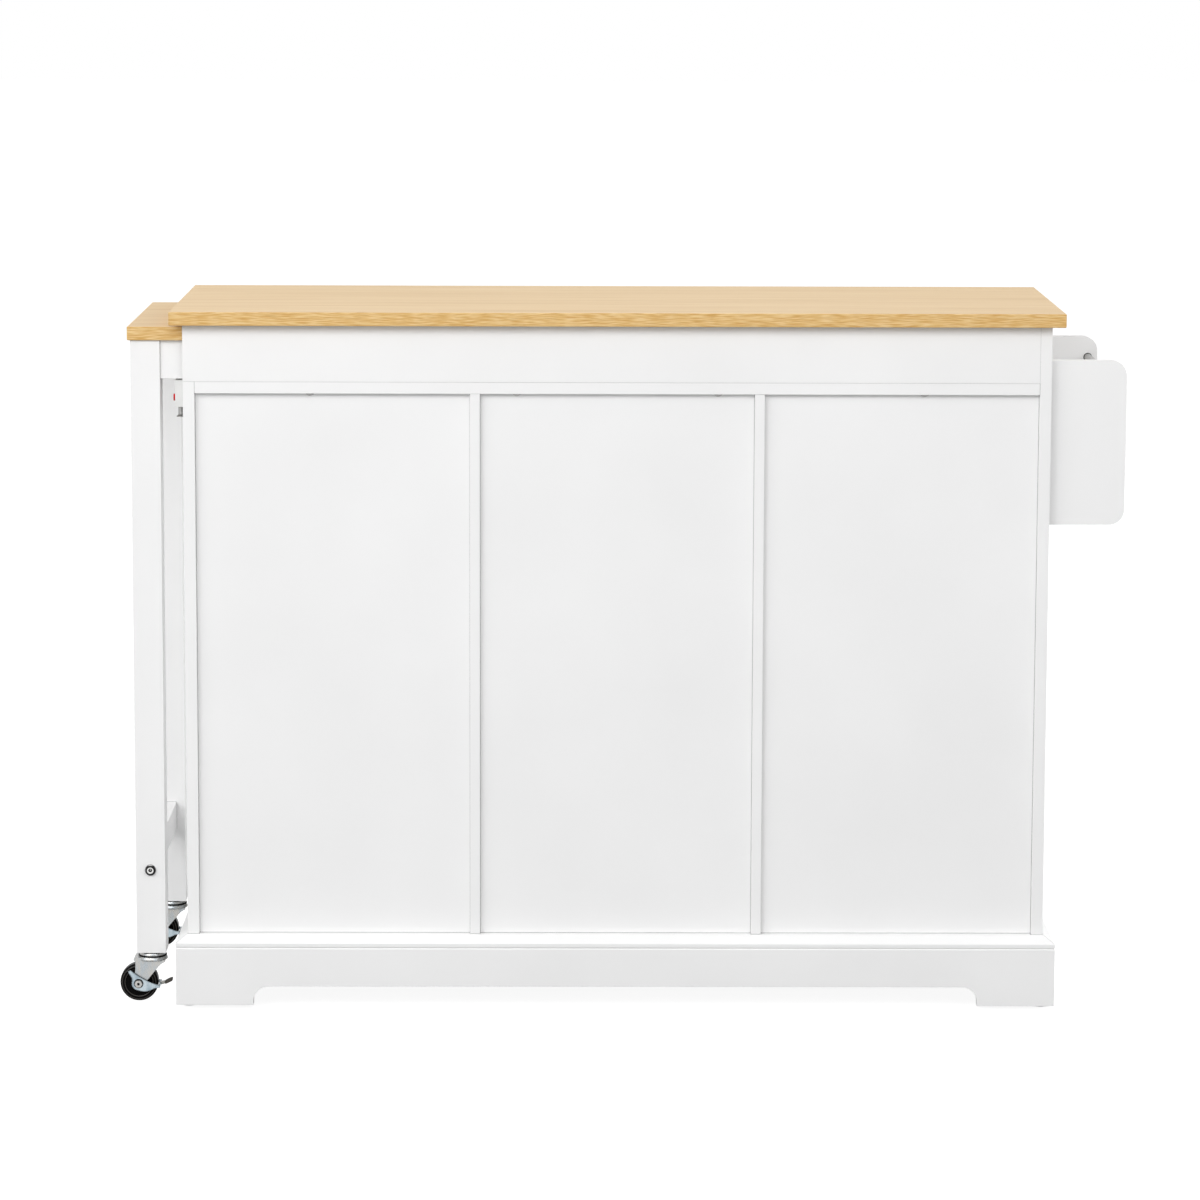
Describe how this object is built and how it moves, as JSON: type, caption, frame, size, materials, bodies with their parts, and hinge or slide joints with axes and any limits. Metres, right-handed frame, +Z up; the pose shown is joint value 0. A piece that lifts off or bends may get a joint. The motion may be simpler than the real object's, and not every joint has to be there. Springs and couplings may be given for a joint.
{
  "type": "kitchen island",
  "caption": "Kitchen island with oak-grain top, cupboards, drawers, side rack, moulded plinth and an extension table on casters.",
  "frame": {"origin": "middle of the whole outline at rest, on the floor", "axes": "+Z up; +X along the worktop towards the end the table comes out of, right in a front view; the doors and drawers face -Y and the plain back faces +Y"},
  "size_m": [1.309, 0.4216, 0.915],
  "materials": {
    "oak_laminate": "satin oak-grain laminate",
    "white_laminate": "satin white laminate on board",
    "drawer_board": "matt white foil on board",
    "bare_wood": "bare hardwood",
    "pale_nylon": "matt",
    "red_plastic": "gloss",
    "plated_steel": "nickel plated",
    "satin_nickel": "satin",
    "zinc_plate": "bright zinc plate",
    "black_tyre": "semi-gloss"
  },
  "bodies": {
    "cabinet": {"worktop": "oak_laminate", "side_panel_left": "white_laminate", "side_panel_right": "white_laminate", "divider_left": "white_laminate", "divider_right": "white_laminate", "deck_board": "white_laminate", "pocket_floor": "white_laminate", "rear_apron": "white_laminate", "front_apron": "white_laminate", "back_panel_left": "white_laminate", "back_panel_middle": "white_laminate", "back_panel_right": "white_laminate", "plinth_back": "white_laminate", "plinth_front": "white_laminate", "plinth_left": "white_laminate", "plinth_right": "white_laminate", "floor_glides": "pale_nylon", "shelf_left": "white_laminate", "shelf_right": "white_laminate", "cabinet_fixings": "plated_steel", "table_guides": "pale_nylon", "drawer_runners": "bare_wood", "rack_plate_back": "white_laminate", "rack_plate_front": "white_laminate", "rack_rods": "satin_nickel", "rack_shelf": "white_laminate", "hinge_plates": "plated_steel", "latch_housing": "pale_nylon"},
    "table": {"table_top": "oak_laminate", "table_rail_back": "white_laminate", "table_rail_front": "white_laminate", "table_cross_rails": "white_laminate", "leg_back": "white_laminate", "leg_front": "white_laminate", "leg_stretcher": "white_laminate", "leg_bolts": "plated_steel", "caster_stems": "zinc_plate"},
    "caster_back": {"caster_back_fork": "zinc_plate"},
    "caster_back_roller": {"caster_back_wheel": "black_tyre"},
    "caster_back_brake": {"caster_back_pedal": "zinc_plate"},
    "caster_front": {"caster_front_fork": "zinc_plate"},
    "caster_front_roller": {"caster_front_wheel": "black_tyre"},
    "caster_front_brake": {"caster_front_pedal": "zinc_plate"},
    "left_door": {"door_left": "white_laminate", "door_left_hinges": "plated_steel", "door_left_knob": "satin_nickel"},
    "right_door": {"door_right": "white_laminate", "door_right_hinges": "plated_steel", "door_right_knob": "satin_nickel"},
    "top_drawer": {"drawer_top_front": "white_laminate", "drawer_top_box": "drawer_board", "drawer_top_knob": "satin_nickel"},
    "middle_drawer": {"drawer_middle_front": "white_laminate", "drawer_middle_box": "drawer_board", "drawer_middle_knob": "satin_nickel"},
    "bottom_drawer": {"drawer_bottom_front": "white_laminate", "drawer_bottom_box": "drawer_board", "drawer_bottom_knob": "satin_nickel"},
    "latch_key": {"latch_button": "red_plastic"},
    "latch_bolt": {"latch_plunger": "plated_steel"}
  },
  "joints": [
    {"name": "table_slide", "type": "slide", "parent": "cabinet", "child": "table", "axis": [1, 0, 0], "range_m": [0, 0.6]},
    {"name": "caster_back_swivel", "type": "hinge", "parent": "table", "child": "caster_back", "pos_m": [0.612, 0.1553, 0], "axis": [0, 0, 1], "range_deg": [-110, 110]},
    {"name": "caster_back_roll", "type": "hinge", "parent": "caster_back", "child": "caster_back_roller", "pos_m": [0.6295, 0.1553, 0.025], "axis": [0, 1, 0], "continuous": true},
    {"name": "caster_back_brake_press", "type": "hinge", "parent": "caster_back", "child": "caster_back_brake", "pos_m": [0.6295, 0.1553, 0.025], "axis": [0, -1, 0], "range_deg": [0, 18]},
    {"name": "caster_front_swivel", "type": "hinge", "parent": "table", "child": "caster_front", "pos_m": [0.612, -0.1467, 0], "axis": [0, 0, 1], "range_deg": [-110, 110]},
    {"name": "caster_front_roll", "type": "hinge", "parent": "caster_front", "child": "caster_front_roller", "pos_m": [0.6295, -0.1467, 0.025], "axis": [0, 1, 0], "continuous": true},
    {"name": "caster_front_brake_press", "type": "hinge", "parent": "caster_front", "child": "caster_front_brake", "pos_m": [0.6295, -0.1467, 0.025], "axis": [0, -1, 0], "range_deg": [0, 18]},
    {"name": "left_door_hinge", "type": "hinge", "parent": "cabinet", "child": "left_door", "pos_m": [-0.56, -0.1715, 0.4545], "axis": [0, 0, -1], "range_deg": [0, 105]},
    {"name": "right_door_hinge", "type": "hinge", "parent": "cabinet", "child": "right_door", "pos_m": [0.566, -0.1715, 0.4545], "axis": [0, 0, 1], "range_deg": [0, 105]},
    {"name": "top_drawer_slide", "type": "slide", "parent": "cabinet", "child": "top_drawer", "axis": [0, -1, 0], "range_m": [0, 0.25]},
    {"name": "middle_drawer_slide", "type": "slide", "parent": "cabinet", "child": "middle_drawer", "axis": [0, -1, 0], "range_m": [0, 0.25]},
    {"name": "bottom_drawer_slide", "type": "slide", "parent": "cabinet", "child": "bottom_drawer", "axis": [0, -1, 0], "range_m": [0, 0.25]},
    {"name": "latch_press", "type": "slide", "parent": "cabinet", "child": "latch_key", "axis": [-1, 0, 0], "range_m": [0, 0.002], "stiffness_N_per_m": 300},
    {"name": "latch_retract", "type": "slide", "parent": "cabinet", "child": "latch_bolt", "axis": [0, 0, -1], "range_m": [0, 0.003]}
  ],
  "couplings": [
    {"joint": "latch_retract", "follows": "latch_press", "ratio": 1.5}
  ]
}
